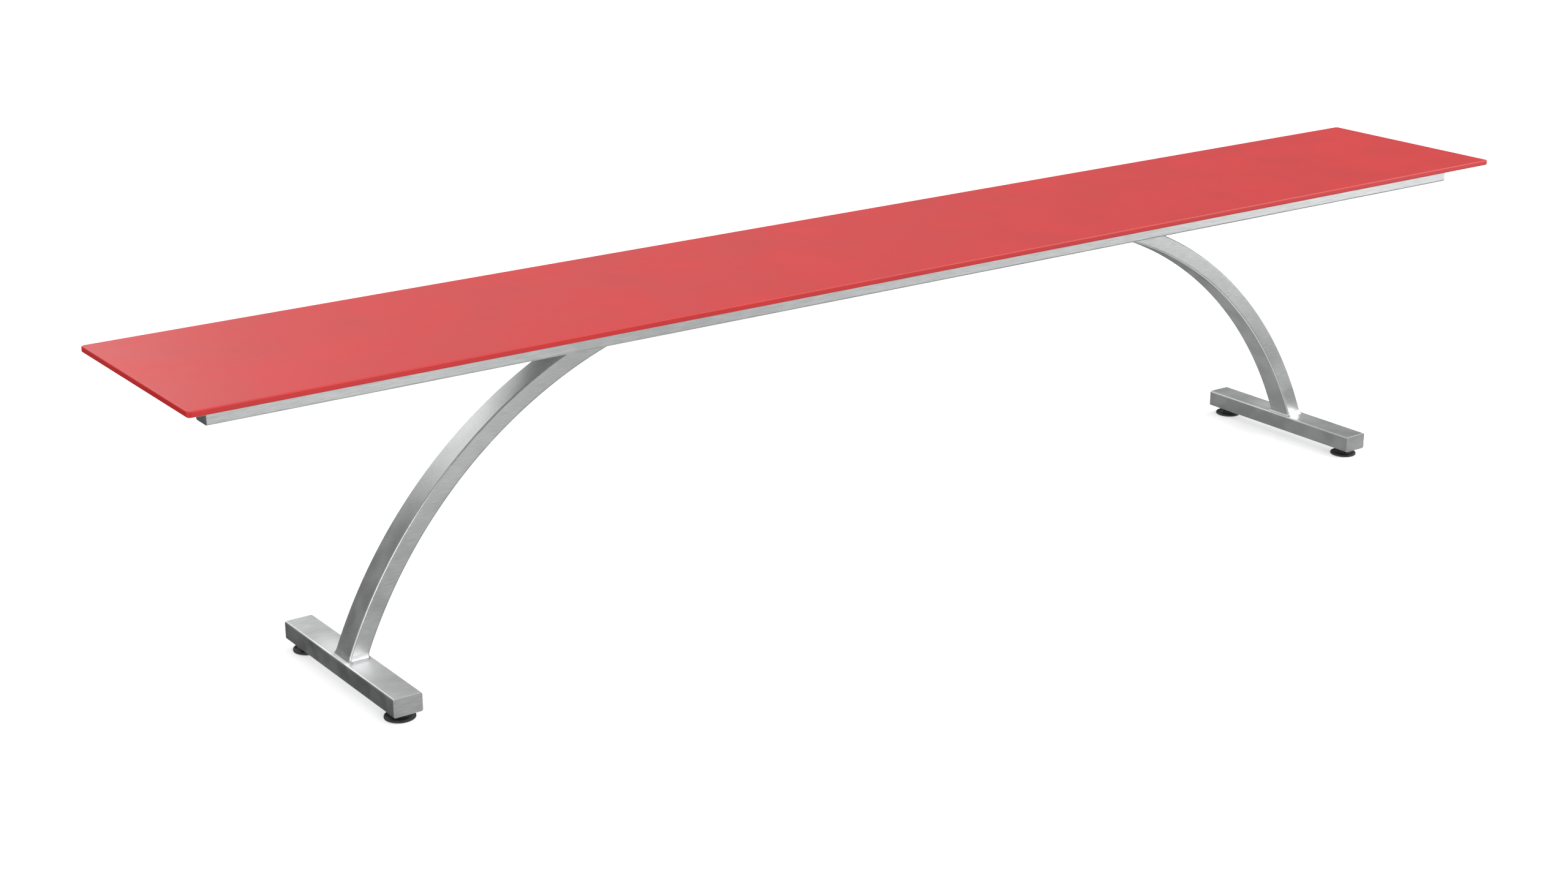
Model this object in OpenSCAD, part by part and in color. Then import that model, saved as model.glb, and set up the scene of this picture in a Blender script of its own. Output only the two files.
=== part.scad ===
// Long backless bench: a thin compact-laminate seat board on a tubular steel
// seat frame, carried by two curved legs on T-shaped feet with levelling glides.
// X runs along the bench, Y across it, Z up. The origin is on the floor, under
// the middle of the seat. "Left" is towards -X and "front" is towards -Y.

/* [Seat board] */
// Length of the seat board
seat_length = 2200; // [1800:10:2700]
// Width of the seat board
seat_width = 320; // [260:5:420]
// Thickness of the seat board
seat_thickness = 8; // [8:1:16]
// Height of the seat's top above the floor, glides screwed right in
seat_height = 452; // [370:2:560]
// Radius of the board's four corners, seen from above
seat_corner_radius = 5; // [3:0.5:12]
// Radius worked along the board's upper and lower edges
seat_edge_radius = 2; // [1:0.5:3]

/* [Seat frame] */
// Outside size of the square rails and cross tubes
rail_size = 30; // [25:1:40]
// Wall of the rails and cross tubes
rail_wall = 2; // [1.5:0.25:3]
// Outside corner radius of the rails and cross tubes
rail_corner_radius = 2.5; // [2:0.25:4]
// From the board's long edge in to the rail's outer face
rail_side_inset = 50; // [30:2:75]
// From the board's end in to the rail's end
rail_end_inset = 42; // [25:1:80]
// Thickness of the plates welded over the ends of rails and feet
end_cap_thickness = 1.5; // [1:0.25:4]
// From the rail's end in to the middle of the end cross tube
end_tube_inset = 100; // [60:5:150]

/* [Seat fixings] */
// Seat screws in each rail
screws_per_rail = 6; // [4:1:10]
// From the rail's end in to the last seat screw
screw_end_inset = 58; // [35:1:80]
// Thread diameter of the seat screws
seat_screw_diameter = 5; // [4:0.5:6]
// Outside diameter of the threaded inserts in the board
insert_diameter = 7.5; // [7:0.25:9]
// Depth of the blind holes that hold the inserts
insert_depth = 6; // [5:0.25:6.5]

/* [Legs] */
// Size of the curved leg tube across the bench
leg_width = 40; // [30:1:50]
// Size of the curved leg tube in the plane of its curve
leg_depth = 25; // [20:1:32]
// Wall of the leg tube
leg_wall = 3; // [2:0.25:4]
// Outside corner radius of the leg tube and the foot
leg_corner_radius = 2.5; // [1.5:0.25:4]
// Radius of the leg's curve, at the middle of the tube
leg_radius = 625; // [510:5:760]
// Distance between the middles of the two feet
foot_spacing = 1690; // [1400:5:2050]
// Thickness of the plate on top of each leg
leg_plate_thickness = 6; // [4:0.5:10]
// From the middle of the leg plate to its bolts, across the bench
leg_bolt_offset = 32; // [30:0.5:45]
// From the leg tube's cut end out to the middle of the bolts, along the bench
leg_bolt_margin = 11; // [10:0.5:20]
// Thread diameter of the leg bolts
leg_bolt_diameter = 8; // [6:1:8]
// Size of the weld bead round the leg's two ends
weld_size = 4.5; // [2:0.5:5]

/* [Feet] */
// Length of the foot across the bench, over its end plates
foot_length = 303; // [240:1:400]
// Width of the foot
foot_width = 40; // [36:1:50]
// Height of the foot
foot_height = 25; // [22:1:32]
// Wall of the foot
foot_wall = 3; // [2:0.25:4]

/* [Glides] */
// Diameter of the glide's pad
pad_diameter = 40; // [32:1:50]
// Height of the pad's raised rim
pad_rim_height = 4; // [3:0.25:5]
// Height of the pad's middle boss
pad_boss_height = 6; // [5.5:0.25:8]
// From the foot's end in to the middle of the glide
glide_end_inset = 24; // [22:1:50]
// Thread diameter of the glide's stem
stem_diameter = 8; // [6:0.5:10]
// Height of the hexagon on the stem
stem_hex_height = 5.5; // [4:0.25:7]
// Length that the glide can be screwed out
glide_travel = 12; // [6:0.5:14]

/* [Hidden] */
$fn = 64;
steel = "silver";
zinc = "gainsboro";

// Clearances
thread_gap = 0.05;      // radial, thread in its nut or insert
insert_gap = 0.02;      // radial, insert in the board
hole_gap = 0.5;         // radial, bolt in a plain hole
running_gap = 0.1;      // stem turning in its pad
stop_gap = 0.3;         // stem's hexagon below the foot, screwed right in
tube_inner_radius = 0.5;
past = 1;               // how far a cutter runs past the face that it cuts

// Heights
seat_under = seat_height - seat_thickness;
rail_under = seat_under - rail_size;
rail_middle = seat_under - rail_size / 2;
foot_under = pad_boss_height + stop_gap + stem_hex_height + stop_gap;
foot_top = foot_under + foot_height;
leg_top = rail_under - leg_plate_thickness;

// Rails
rail_length = seat_length - 2 * rail_end_inset;
rail_y = seat_width / 2 - rail_side_inset - rail_size / 2;
cross_tube_length = 2 * rail_y - rail_size;
end_tube_x = rail_length / 2 - end_tube_inset;

// Seat fixings
screw_step = (rail_length - 2 * screw_end_inset) / (screws_per_rail - 1);
screw_places = [
    for (i = [0 : screws_per_rail - 1])
        for (y = [-rail_y, rail_y])
            [-rail_length / 2 + screw_end_inset + i * screw_step, y]
];
screw_head_diameter = 1.9 * seat_screw_diameter;
screw_head_height = 0.55 * seat_screw_diameter;
screw_washer_diameter = 2 * seat_screw_diameter;
screw_washer_thickness = 1;
screw_tip_gap = 0.6;
insert_length = insert_depth - 0.3;

// The leg's curve is tangent to the rails' middle plane, and its middle line
// lands on the middle of the foot
foot_x = foot_spacing / 2;
leg_centre_z = rail_middle - leg_radius;
leg_centre_x = foot_x - sqrt(pow(leg_radius, 2) - pow(foot_top - leg_centre_z, 2));

// X of a concentric arc of radius r at height z
function leg_x(r, z) = leg_centre_x + sqrt(pow(r, 2) - pow(z - leg_centre_z, 2));
function outer_x(z) = leg_x(leg_radius + leg_depth / 2, z);
function inner_x(z) = leg_x(leg_radius - leg_depth / 2, z);

// Room for the weld on the flat of the foot's top, before its edge turns down
weld_room = (foot_width - outer_x(foot_top) + inner_x(foot_top)) / 2 - leg_corner_radius;
weld_spread = min(weld_size, weld_room);
weld_toe = 0.2;         // how thick the bead still is where it ends

// Leg plate and its bolts
plate_middle_x = (outer_x(leg_top) + inner_x(leg_top)) / 2;
plate_bolt_x = (outer_x(leg_top) - inner_x(leg_top)) / 2 + leg_bolt_margin;
plate_edge = 1.4 * leg_bolt_diameter + 2;
plate_length = 2 * (plate_bolt_x + plate_edge);
plate_width = 2 * (leg_bolt_offset + plate_edge);
plate_corner_radius = 6;
bolt_places = [
    for (sx = [-1, 1])
        for (sy = [-1, 1])
            [plate_middle_x + sx * plate_bolt_x, sy * leg_bolt_offset]
];
outer_tube_x = plate_middle_x + plate_bolt_x;
inner_tube_x = plate_middle_x - plate_bolt_x;
bolt_head_across = 1.625 * leg_bolt_diameter;
bolt_head_height = 0.66 * leg_bolt_diameter;
bolt_washer_diameter = 2 * leg_bolt_diameter;
bolt_washer_thickness = 1.6;
leg_nut_across = 1.75 * leg_bolt_diameter;
leg_nut_height = 0.8 * leg_bolt_diameter;
leg_bolt_spare = 3.5;   // thread that shows past the nut

// Glides
glide_y = foot_length / 2 - glide_end_inset;
stem_disc_radius = 0.69 * stem_diameter;
stem_disc_under = 2;
stem_disc_height = 1.5;
stem_hex_under = pad_boss_height + stop_gap;
stem_hex_across = 1.625 * stem_diameter;
glide_nut_across = 1.75 * stem_diameter;
glide_nut_height = 0.8 * stem_diameter;
glide_nut_under = foot_under + foot_wall;
stem_top_gap = 1;
stem_top = min(
    glide_nut_under + glide_nut_height + glide_travel,
    foot_top - foot_wall - stem_top_gap
);
pad_boss_radius = stem_disc_radius + 3.5;

// ---- Shared shapes ----

// Moves a part that is drawn on the right to its own side: 1 right, -1 left
module on_side(side) {
    if (side < 0) mirror([1, 0, 0]) children();
    else children();
}

// Rectangle with rounded corners, about the origin
module rounded_rectangle(w, h, r) {
    square([w - 2 * r, h], center = true);
    square([w, h - 2 * r], center = true);
    for (sx = [-1, 1], sy = [-1, 1])
        translate([sx * (w / 2 - r), sy * (h / 2 - r)]) circle(r = r);
}

// Section of a rectangular tube
module tube_section(w, h, r, wall) {
    difference() {
        rounded_rectangle(w, h, r);
        rounded_rectangle(w - 2 * wall, h - 2 * wall, max(r - wall, tube_inner_radius));
    }
}

// Stands a drawing on end, so that its extrusion runs along Y
module along_y() {
    rotate([90, 0, 0]) children();
}

// Turns a drawing so that its extrusion runs along X, with its Y axis up
module along_x() {
    rotate([90, 0, 90]) children();
}

// Hexagon prism, given the size across its flats
module hexagon(across, height) {
    cylinder(d = across / cos(30), h = height, $fn = 6);
}

// Flat ring
module ring(outer, inner, height) {
    difference() {
        cylinder(d = outer, h = height);
        translate([0, 0, -past]) cylinder(d = inner, h = height + 2 * past);
    }
}

// Hexagon nut with a clear bore for its thread
module weld_nut(across, thread, height) {
    difference() {
        hexagon(across, height);
        translate([0, 0, -past]) cylinder(d = thread + 2 * thread_gap, h = height + 2 * past);
    }
}

// ---- Seat board ----

// The bare board: its plan, trimmed to the rounded sections of its long and
// short edges
module board_blank() {
    intersection() {
        linear_extrude(seat_thickness)
            rounded_rectangle(seat_length, seat_width, seat_corner_radius);
        translate([-seat_length / 2, 0, seat_thickness / 2])
            along_x()
                linear_extrude(seat_length)
                    rounded_rectangle(seat_width, seat_thickness, seat_edge_radius);
        translate([0, seat_width / 2, seat_thickness / 2])
            along_y()
                linear_extrude(seat_width)
                    rounded_rectangle(seat_length, seat_thickness, seat_edge_radius);
    }
}

// The board, with a blind hole from below for each insert
module seat_board() {
    color("crimson")
        difference() {
            translate([0, 0, seat_under]) board_blank();
            for (p = screw_places)
                translate([p[0], p[1], seat_under - past])
                    cylinder(d = insert_diameter + 2 * insert_gap, h = insert_depth + past);
        }
}

// Brass threaded inserts, pressed up into the board
module seat_inserts() {
    color("goldenrod")
        for (p = screw_places)
            translate([p[0], p[1], seat_under])
                ring(insert_diameter, seat_screw_diameter + 2 * thread_gap, insert_length);
}

// Button-head screws, up through each rail into the inserts
module seat_screws() {
    head_top = rail_under - screw_washer_thickness;
    tip = seat_under + insert_length - screw_tip_gap;
    color(zinc)
        for (p = screw_places)
            translate([p[0], p[1], head_top])
                difference() {
                    union() {
                        cylinder(d = seat_screw_diameter, h = tip - head_top);
                        translate([0, 0, -screw_head_height])
                            cylinder(
                                d1 = 0.6 * screw_head_diameter,
                                d2 = screw_head_diameter,
                                h = screw_head_height
                            );
                    }
                    translate([0, 0, -screw_head_height - past])
                        hexagon(0.6 * seat_screw_diameter, 0.6 * screw_head_height + past);
                }
}

module seat_screw_washers() {
    color(zinc)
        for (p = screw_places)
            translate([p[0], p[1], rail_under - screw_washer_thickness])
                ring(
                    screw_washer_diameter,
                    seat_screw_diameter + hole_gap,
                    screw_washer_thickness
                );
}

// ---- Seat frame ----

// Square rail at the given Y, drilled through for the seat screws
module rail(y) {
    tube_length = rail_length - 2 * end_cap_thickness;
    difference() {
        translate([-tube_length / 2, y, rail_middle])
            along_x()
                linear_extrude(tube_length)
                    tube_section(rail_size, rail_size, rail_corner_radius, rail_wall);
        for (p = screw_places)
            if (p[1] == y)
                translate([p[0], y, rail_under - past])
                    cylinder(r = seat_screw_diameter / 2 + hole_gap, h = rail_size + 2 * past);
    }
}

// The plates that close the two ends of a rail
module rail_end_caps(y) {
    for (x = [-rail_length / 2, rail_length / 2 - end_cap_thickness])
        translate([x, y, rail_middle])
            along_x()
                linear_extrude(end_cap_thickness)
                    rounded_rectangle(rail_size, rail_size, rail_corner_radius);
}

module front_rail() {
    color(steel) rail(-rail_y);
}

module rear_rail() {
    color(steel) rail(rail_y);
}

module front_rail_end_caps() {
    color(steel) rail_end_caps(-rail_y);
}

module rear_rail_end_caps() {
    color(steel) rail_end_caps(rail_y);
}

// Square tube between the rails, at the given X
module cross_tube(x) {
    translate([x, cross_tube_length / 2, rail_middle])
        along_y()
            linear_extrude(cross_tube_length)
                tube_section(rail_size, rail_size, rail_corner_radius, rail_wall);
}

// Cross tube that a leg plate bolts up to, at the given X on the right
module leg_cross_tube(x) {
    difference() {
        cross_tube(x);
        for (p = bolt_places)
            if (p[0] == x)
                translate([x, p[1], rail_under - past])
                    cylinder(d = leg_bolt_diameter + 2 * hole_gap, h = rail_wall + 2 * past);
    }
}

module left_end_cross_tube() {
    color(steel) cross_tube(-end_tube_x);
}

module left_outer_cross_tube() {
    color(steel) on_side(-1) leg_cross_tube(outer_tube_x);
}

module left_inner_cross_tube() {
    color(steel) on_side(-1) leg_cross_tube(inner_tube_x);
}

module centre_cross_tube() {
    color(steel) cross_tube(0);
}

module right_inner_cross_tube() {
    color(steel) leg_cross_tube(inner_tube_x);
}

module right_outer_cross_tube() {
    color(steel) leg_cross_tube(outer_tube_x);
}

module right_end_cross_tube() {
    color(steel) cross_tube(end_tube_x);
}

// ---- Leg fixings ----

// Nuts welded inside the two cross tubes, over the leg plate
module leg_nuts() {
    for (p = bolt_places)
        translate([p[0], p[1], rail_under + rail_wall])
            weld_nut(leg_nut_across, leg_bolt_diameter, leg_nut_height);
}

// Hexagon-head bolts, up through the plate into the nuts
module leg_bolts() {
    under = leg_top - bolt_washer_thickness;
    tip = rail_under + rail_wall + leg_nut_height + leg_bolt_spare;
    for (p = bolt_places)
        translate([p[0], p[1], under]) {
            cylinder(d = leg_bolt_diameter, h = tip - under);
            translate([0, 0, -bolt_head_height]) hexagon(bolt_head_across, bolt_head_height);
        }
}

module leg_washers() {
    for (p = bolt_places)
        translate([p[0], p[1], leg_top - bolt_washer_thickness])
            ring(bolt_washer_diameter, leg_bolt_diameter + hole_gap, bolt_washer_thickness);
}

// Flat plate, welded on the leg tube's slanting cut end
module leg_plate() {
    difference() {
        translate([plate_middle_x, 0, leg_top])
            linear_extrude(leg_plate_thickness)
                rounded_rectangle(plate_length, plate_width, plate_corner_radius);
        for (p = bolt_places)
            translate([p[0], p[1], leg_top - past])
                cylinder(
                    d = leg_bolt_diameter + 2 * hole_gap,
                    h = leg_plate_thickness + 2 * past
                );
    }
}

// ---- Legs and feet ----

// A quarter turn of the given section about the leg's centre
module leg_sweep() {
    translate([leg_centre_x, 0, leg_centre_z])
        along_y()
            rotate_extrude(angle = 90, $fn = 180) translate([leg_radius, 0]) children();
}

// Keeps what lies between the foot's top and the leg plate
module between_cuts() {
    intersection() {
        children();
        translate([leg_centre_x, -leg_width, foot_top])
            cube([leg_radius + leg_depth, 2 * leg_width, leg_top - foot_top]);
    }
}

// Curved rectangular tube, cut level at both ends, with three flats round each
// corner of its section
module leg_tube() {
    between_cuts()
        leg_sweep()
            tube_section(leg_depth, leg_width, leg_corner_radius, leg_wall, $fn = 12);
}

// Bead round the leg, from the face at height z out to height z_end, sloping
// in along X and along Y
module weld_bead(z, z_end) {
    half_width = leg_width / 2;
    difference() {
        intersection() {
            translate([0, half_width + weld_spread + past, 0])
                along_y()
                    linear_extrude(leg_width + 2 * (weld_spread + past))
                        polygon([
                            [inner_x(z) - weld_spread, z],
                            [outer_x(z) + weld_spread, z],
                            [outer_x(z_end) + weld_toe, z_end],
                            [inner_x(z_end) - weld_toe, z_end]
                        ]);
            along_x()
                linear_extrude(foot_x + foot_width)
                    polygon([
                        [-half_width - weld_spread, z],
                        [half_width + weld_spread, z],
                        [half_width + weld_toe, z_end],
                        [-half_width - weld_toe, z_end]
                    ]);
        }
        leg_sweep() rounded_rectangle(leg_depth, leg_width, leg_corner_radius, $fn = 12);
    }
}

module leg_welds() {
    weld_bead(foot_top, foot_top + weld_size);
    weld_bead(leg_top, leg_top - weld_size / 2);
}

// Rectangular tube across the bench, drilled below for the two glides
module foot_bar() {
    tube_length = foot_length - 2 * end_cap_thickness;
    difference() {
        translate([foot_x, tube_length / 2, foot_under + foot_height / 2])
            along_y()
                linear_extrude(tube_length)
                    tube_section(foot_width, foot_height, leg_corner_radius, foot_wall);
        for (y = [-glide_y, glide_y])
            translate([foot_x, y, foot_under - past])
                cylinder(d = stem_diameter + 2 * hole_gap, h = foot_wall + 2 * past);
    }
}

module foot_end_caps() {
    for (y = [foot_length / 2, end_cap_thickness - foot_length / 2])
        translate([foot_x, y, foot_under + foot_height / 2])
            along_y()
                linear_extrude(end_cap_thickness)
                    rounded_rectangle(foot_width, foot_height, leg_corner_radius);
}

// Nuts welded inside the foot, over the glide holes
module glide_nuts() {
    for (y = [-glide_y, glide_y])
        translate([foot_x, y, glide_nut_under])
            weld_nut(glide_nut_across, stem_diameter, glide_nut_height);
}

// ---- Glides ----

// Dished plastic pad with a raised rim, snapped over the stem's disc
module glide_pad() {
    r = pad_diameter / 2;
    dish_height = 2.5;
    rotate_extrude()
        difference() {
            polygon([
                [0, 0],
                [r - 1.5, 0],
                [r, 1],
                [r, pad_rim_height - 1.2],
                [r - 1.5, pad_rim_height],
                [r - 3, pad_rim_height - 0.6],
                [r - 5, dish_height],
                [pad_boss_radius + 1.5, dish_height],
                [pad_boss_radius, dish_height + 1.5],
                [pad_boss_radius, pad_boss_height - 0.5],
                [pad_boss_radius - 0.5, pad_boss_height],
                [0, pad_boss_height]
            ]);
            translate([0, stem_disc_under - running_gap])
                square([stem_disc_radius + running_gap, stem_disc_height + 2 * running_gap]);
            translate([0, stem_disc_under])
                square([stem_diameter / 2 + running_gap, pad_boss_height]);
        }
}

// Steel stem: a disc held in the pad, a spanner hexagon and a thread
module glide_stem() {
    translate([0, 0, stem_disc_under]) cylinder(r = stem_disc_radius, h = stem_disc_height);
    translate([0, 0, stem_hex_under]) hexagon(stem_hex_across, stem_hex_height);
    translate([0, 0, stem_disc_under]) cylinder(d = stem_diameter, h = stem_top - stem_disc_under);
}

// Places a glide under the left or right foot, at its front or rear end
module at_glide(side, end) {
    translate([side * foot_x, end * glide_y, 0]) children();
}

// ---- Left leg ----

module left_leg_nuts() {
    color(zinc) on_side(-1) leg_nuts();
}

module left_leg_bolts() {
    color(zinc) on_side(-1) leg_bolts();
}

module left_leg_washers() {
    color(zinc) on_side(-1) leg_washers();
}

module left_leg_plate() {
    color(steel) on_side(-1) leg_plate();
}

module left_leg_tube() {
    color(steel) on_side(-1) leg_tube();
}

module left_leg_welds() {
    color(steel) on_side(-1) leg_welds();
}

module left_foot_bar() {
    color(steel) on_side(-1) foot_bar();
}

module left_foot_end_caps() {
    color(steel) on_side(-1) foot_end_caps();
}

module left_glide_nuts() {
    color(zinc) on_side(-1) glide_nuts();
}

// ---- Right leg ----

module right_leg_nuts() {
    color(zinc) on_side(1) leg_nuts();
}

module right_leg_bolts() {
    color(zinc) on_side(1) leg_bolts();
}

module right_leg_washers() {
    color(zinc) on_side(1) leg_washers();
}

module right_leg_plate() {
    color(steel) on_side(1) leg_plate();
}

module right_leg_tube() {
    color(steel) on_side(1) leg_tube();
}

module right_leg_welds() {
    color(steel) on_side(1) leg_welds();
}

module right_foot_bar() {
    color(steel) on_side(1) foot_bar();
}

module right_foot_end_caps() {
    color(steel) on_side(1) foot_end_caps();
}

module right_glide_nuts() {
    color(zinc) on_side(1) glide_nuts();
}

// ---- The four glides ----

module left_front_glide_pad() {
    color("dimgray") at_glide(-1, -1) glide_pad();
}

module left_front_glide_stem() {
    color(zinc) at_glide(-1, -1) glide_stem();
}

module left_rear_glide_pad() {
    color("dimgray") at_glide(-1, 1) glide_pad();
}

module left_rear_glide_stem() {
    color(zinc) at_glide(-1, 1) glide_stem();
}

module right_front_glide_pad() {
    color("dimgray") at_glide(1, -1) glide_pad();
}

module right_front_glide_stem() {
    color(zinc) at_glide(1, -1) glide_stem();
}

module right_rear_glide_pad() {
    color("dimgray") at_glide(1, 1) glide_pad();
}

module right_rear_glide_stem() {
    color(zinc) at_glide(1, 1) glide_stem();
}

// ---- Every node ----

seat_board();
seat_inserts();
seat_screws();
seat_screw_washers();
front_rail();
rear_rail();
front_rail_end_caps();
rear_rail_end_caps();
left_end_cross_tube();
left_outer_cross_tube();
left_inner_cross_tube();
centre_cross_tube();
right_inner_cross_tube();
right_outer_cross_tube();
right_end_cross_tube();
left_leg_nuts();
left_leg_bolts();
left_leg_washers();
left_leg_plate();
left_leg_tube();
left_leg_welds();
left_foot_bar();
left_foot_end_caps();
left_glide_nuts();
right_leg_nuts();
right_leg_bolts();
right_leg_washers();
right_leg_plate();
right_leg_tube();
right_leg_welds();
right_foot_bar();
right_foot_end_caps();
right_glide_nuts();
left_front_glide_pad();
left_front_glide_stem();
left_rear_glide_pad();
left_rear_glide_stem();
right_front_glide_pad();
right_front_glide_stem();
right_rear_glide_pad();
right_rear_glide_stem();
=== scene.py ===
"""A long backless bench, put together in the order in which it is made.

The seat board, the welded tube frame under it, the two curved legs, the feet
they stand on and the glides that level them. Sizes are in metres, and the
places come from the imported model.
"""

from math import asin, atan2, cos, pi, radians, sin, sqrt, tan

import bmesh
import bpy
from mathutils import Matrix, Vector


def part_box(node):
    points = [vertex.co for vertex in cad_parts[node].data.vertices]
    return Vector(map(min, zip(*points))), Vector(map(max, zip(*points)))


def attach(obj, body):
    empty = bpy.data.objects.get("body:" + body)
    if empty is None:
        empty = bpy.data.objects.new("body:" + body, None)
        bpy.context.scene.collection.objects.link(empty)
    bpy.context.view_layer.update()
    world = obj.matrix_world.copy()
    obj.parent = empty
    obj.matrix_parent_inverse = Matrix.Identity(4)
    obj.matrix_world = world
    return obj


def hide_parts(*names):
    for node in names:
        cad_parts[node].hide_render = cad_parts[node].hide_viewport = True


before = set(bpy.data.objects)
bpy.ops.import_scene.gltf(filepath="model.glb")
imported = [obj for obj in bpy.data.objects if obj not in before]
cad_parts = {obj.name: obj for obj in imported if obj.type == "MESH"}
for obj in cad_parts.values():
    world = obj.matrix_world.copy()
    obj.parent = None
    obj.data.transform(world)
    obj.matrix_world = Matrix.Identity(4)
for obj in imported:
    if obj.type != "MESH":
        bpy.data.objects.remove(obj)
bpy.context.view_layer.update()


# ---- Seat board ----
# A plank of red compact laminate with a satin face and a grey backing sheet. It
# is sawn to size, its corners and edges are routed round, and blind holes are
# drilled from below for the inserts.
BOARD_CORNER_RADIUS = 0.005
BOARD_EDGE_RADIUS = 0.002
INSERT_HOLE_RADIUS = 0.00377
INSERT_HOLE_DEPTH = 0.006
DRILL_START = 0.001  # a drill starts this far outside the face
LAMINATE_RED = (0.66, 0.022, 0.024, 1)
LAMINATE_DEEP_RED = (0.60, 0.018, 0.020, 1)
BACKING_GREY = (0.65, 0.65, 0.65, 1)
BACKING_THICKNESS = 0.0006
SHARP_ANGLE = radians(35)  # a sharper edge than this is shaded as an edge


def new_finish(name, roughness, metallic=0.0):
    """A material, with its node tree, its shader and its object coordinates."""
    material = bpy.data.materials.new(name)
    material.use_nodes = True
    tree = material.node_tree
    shader = tree.nodes["Principled BSDF"]
    shader.inputs["Roughness"].default_value = roughness
    shader.inputs["Metallic"].default_value = metallic
    coordinates = tree.nodes.new("ShaderNodeTexCoord").outputs["Object"]
    return material, tree, shader, coordinates


def grain(tree, coordinates, stretch, scale, detail=2.0):
    """Noise over the object, with its coordinates scaled by stretch."""
    mapping = tree.nodes.new("ShaderNodeMapping")
    mapping.inputs["Scale"].default_value = stretch
    noise = tree.nodes.new("ShaderNodeTexNoise")
    noise.inputs["Scale"].default_value = scale
    noise.inputs["Detail"].default_value = detail
    tree.links.new(coordinates, mapping.inputs["Vector"])
    tree.links.new(mapping.outputs["Vector"], noise.inputs["Vector"])
    return noise.outputs["Fac"]


def ranged(tree, value, low, high, start=0.35, end=0.65):
    """Spreads the middle of a noise value over low to high."""
    node = tree.nodes.new("ShaderNodeMapRange")
    node.interpolation_type = "SMOOTHSTEP"
    node.inputs["From Min"].default_value = start
    node.inputs["From Max"].default_value = end
    node.inputs["To Min"].default_value = low
    node.inputs["To Max"].default_value = high
    tree.links.new(value, node.inputs["Value"])
    return node.outputs["Result"]


def two_tone(tree, value, first, second):
    """A colour that goes from first to second as the value rises."""
    ramp = tree.nodes.new("ShaderNodeValToRGB")
    ramp.color_ramp.elements[0].position = 0.3
    ramp.color_ramp.elements[0].color = first
    ramp.color_ramp.elements[1].position = 0.7
    ramp.color_ramp.elements[1].color = second
    tree.links.new(value, ramp.inputs["Fac"])
    return ramp.outputs["Color"]


def relief(tree, shader, height, distance, strength=1.0):
    """Bumps the surface by a height value, in metres at full height."""
    bump = tree.nodes.new("ShaderNodeBump")
    bump.inputs["Strength"].default_value = strength
    bump.inputs["Distance"].default_value = distance
    tree.links.new(height, bump.inputs["Height"])
    tree.links.new(bump.outputs["Normal"], shader.inputs["Normal"])


def part_of(tree, place, axis):
    """One coordinate, X, Y or Z, of a place."""
    parts = tree.nodes.new("ShaderNodeSeparateXYZ")
    tree.links.new(place, parts.inputs[0])
    return parts.outputs[axis]


def blended(tree, share, first, second):
    """The colour that lies a share of the way from first to second."""
    mix = tree.nodes.new("ShaderNodeMix")
    mix.data_type = "RGBA"
    mix.clamp_factor = False
    tree.links.new(share, mix.inputs["Factor"])
    for name, colour in (("A", first), ("B", second)):
        socket = next(
            s for s in mix.inputs if s.name == name and s.type == "RGBA"
        )
        if isinstance(colour, tuple):
            socket.default_value = colour
        else:
            tree.links.new(colour, socket)
    return next(s for s in mix.outputs if s.type == "RGBA")


def satin_laminate(bottom):
    """Red melamine with a very fine pearl, and a grey backing at the bottom."""
    material, tree, shader, place = new_finish("satin_red_laminate", 0.36)
    clouds = grain(tree, place, (1, 1, 1), 9, detail=3)
    pearl = grain(tree, place, (1, 1, 1), 900)
    above_backing = ranged(
        tree, part_of(tree, place, "Z"), 0, 1,
        start=bottom + 0.8 * BACKING_THICKNESS, end=bottom + BACKING_THICKNESS,
    )
    red = two_tone(tree, clouds, LAMINATE_DEEP_RED, LAMINATE_RED)
    tree.links.new(
        blended(tree, above_backing, BACKING_GREY, red), shader.inputs["Base Color"]
    )
    tree.links.new(ranged(tree, clouds, 0.34, 0.39), shader.inputs["Roughness"])
    relief(tree, shader, pearl, 0.00002, strength=0.35)
    return material


def block(bm, low, high):
    """Adds a box between two corners and returns its vertices."""
    made = bmesh.ops.create_cube(bm, size=1)["verts"]
    low, high = Vector(low), Vector(high)
    bmesh.ops.scale(bm, verts=made, vec=high - low)
    bmesh.ops.translate(bm, verts=made, vec=(low + high) / 2)
    return made


def round_edges(bm, edges, radius, segments):
    """Rounds edges to a radius, and returns what bevel made."""
    return bmesh.ops.bevel(
        bm, geom=list(edges), offset=radius, offset_type="OFFSET",
        segments=segments, profile=0.5, affect="EDGES", material=-1,
    )


def runs_along(edge, axis):
    """Whether an edge runs along X, Y or Z, given as 0, 1 or 2."""
    a, b = edge.verts
    span = b.co - a.co
    return abs(span[axis]) > 0.999 * span.length


def edges_at_height(bm, height):
    """The edges that lie flat at a height."""
    return [
        e for e in bm.edges
        if all(abs(v.co.z - height) < 1e-6 for v in e.verts)
    ]


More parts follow.
